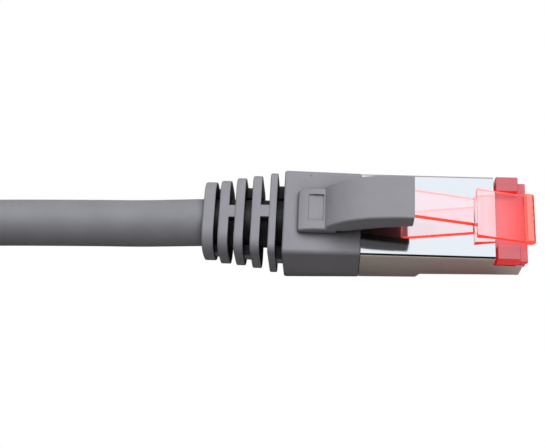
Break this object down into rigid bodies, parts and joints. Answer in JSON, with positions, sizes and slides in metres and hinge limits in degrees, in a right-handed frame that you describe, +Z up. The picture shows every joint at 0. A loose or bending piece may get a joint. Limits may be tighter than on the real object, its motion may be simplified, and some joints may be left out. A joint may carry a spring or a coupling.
{
  "type": "ethernet patch cable",
  "caption": "Shielded network patch cable: grey jacket and ribbed boots, mirror-bright shielded plugs with clear red noses and latches, spare length tied in a coil.",
  "frame": {"origin": "under the middle of plug A, on the surface that it lies on", "axes": "+X from plug A's boot towards its nose, +Y across it, +Z up towards its latch"},
  "size_m": [0.1563, 0.0824, 0.0293],
  "materials": {
    "boot_grey": "moulded soft vinyl, satin",
    "jacket_grey": "extruded jacket, fine satin",
    "nickel": "bright nickel-plated sheet, mirror",
    "clear_red": "transparent red moulding, polished",
    "contact_gold": "gold-plated",
    "guide_natural": "natural moulding",
    "tinned_braid": "tinned copper strands, modelled as one sleeve",
    "pair_foil": "foil tape over two insulated wires",
    "tie_black": "woven hook-and-loop strap",
    "wire_white_orange": "extruded insulation",
    "wire_orange": "extruded insulation",
    "wire_white_green": "extruded insulation",
    "wire_blue": "extruded insulation",
    "wire_white_blue": "extruded insulation",
    "wire_green": "extruded insulation",
    "wire_white_brown": "extruded insulation",
    "wire_brown": "extruded insulation"
  },
  "bodies": {
    "cord": {"boot_a": "boot_grey", "shield_a": "nickel", "housing_a": "clear_red", "wire_guide_a": "guide_natural", "crimp_collar_a": "nickel", "cable_braid_a": "tinned_braid", "contact_1_a": "contact_gold", "contact_2_a": "contact_gold", "contact_3_a": "contact_gold", "contact_4_a": "contact_gold", "contact_5_a": "contact_gold", "contact_6_a": "contact_gold", "contact_7_a": "contact_gold", "contact_8_a": "contact_gold", "wire_1_a": "wire_white_orange", "wire_2_a": "wire_orange", "wire_3_a": "wire_white_green", "wire_4_a": "wire_blue", "wire_5_a": "wire_white_blue", "wire_6_a": "wire_green", "wire_7_a": "wire_white_brown", "wire_8_a": "wire_brown", "foiled_pair_1_a": "pair_foil", "foiled_pair_2_a": "pair_foil", "foiled_pair_3_a": "pair_foil", "foiled_pair_4_a": "pair_foil", "boot_b": "boot_grey", "shield_b": "nickel", "housing_b": "clear_red", "wire_guide_b": "guide_natural", "crimp_collar_b": "nickel", "cable_braid_b": "tinned_braid", "contact_1_b": "contact_gold", "contact_2_b": "contact_gold", "contact_3_b": "contact_gold", "contact_4_b": "contact_gold", "contact_5_b": "contact_gold", "contact_6_b": "contact_gold", "contact_7_b": "contact_gold", "contact_8_b": "contact_gold", "wire_1_b": "wire_white_orange", "wire_2_b": "wire_orange", "wire_3_b": "wire_white_green", "wire_4_b": "wire_blue", "wire_5_b": "wire_white_blue", "wire_6_b": "wire_green", "wire_7_b": "wire_white_brown", "wire_8_b": "wire_brown", "foiled_pair_1_b": "pair_foil", "foiled_pair_2_b": "pair_foil", "foiled_pair_3_b": "pair_foil", "foiled_pair_4_b": "pair_foil", "cable_lead": "jacket_grey", "cable_coil": "jacket_grey", "cable_tail": "jacket_grey", "coil_tie": "tie_black"},
    "guard_a": {"latch_guard_a": "boot_grey"},
    "latch_a": {"latch_a": "clear_red"},
    "guard_b": {"latch_guard_b": "boot_grey"},
    "latch_b": {"latch_b": "clear_red"}
  },
  "joints": [
    {"name": "latch_guard_a_flex", "type": "hinge", "parent": "cord", "child": "guard_a", "pos_m": [-0.0047, 0, 0.0104], "axis": [0, 1, 0], "range_deg": [0, 8], "stiffness_Nm_per_rad": 0.02},
    {"name": "latch_a_flex", "type": "hinge", "parent": "cord", "child": "latch_a", "pos_m": [0.021, 0, 0.009], "axis": [0, 1, 0], "range_deg": [-4.6, 0], "stiffness_Nm_per_rad": 0.02},
    {"name": "latch_guard_b_flex", "type": "hinge", "parent": "cord", "child": "guard_b", "pos_m": [-0.07655, -0.0697, 0.0243], "axis": [0, 1, 0], "range_deg": [0, 8], "stiffness_Nm_per_rad": 0.02},
    {"name": "latch_b_flex", "type": "hinge", "parent": "cord", "child": "latch_b", "pos_m": [-0.05085, -0.0697, 0.0229], "axis": [0, 1, 0], "range_deg": [-4.6, 0], "stiffness_Nm_per_rad": 0.02}
  ],
  "couplings": [
    {"joint": "latch_a_flex", "follows": "latch_guard_a_flex", "ratio": -0.5625},
    {"joint": "latch_b_flex", "follows": "latch_guard_b_flex", "ratio": -0.5625}
  ]
}
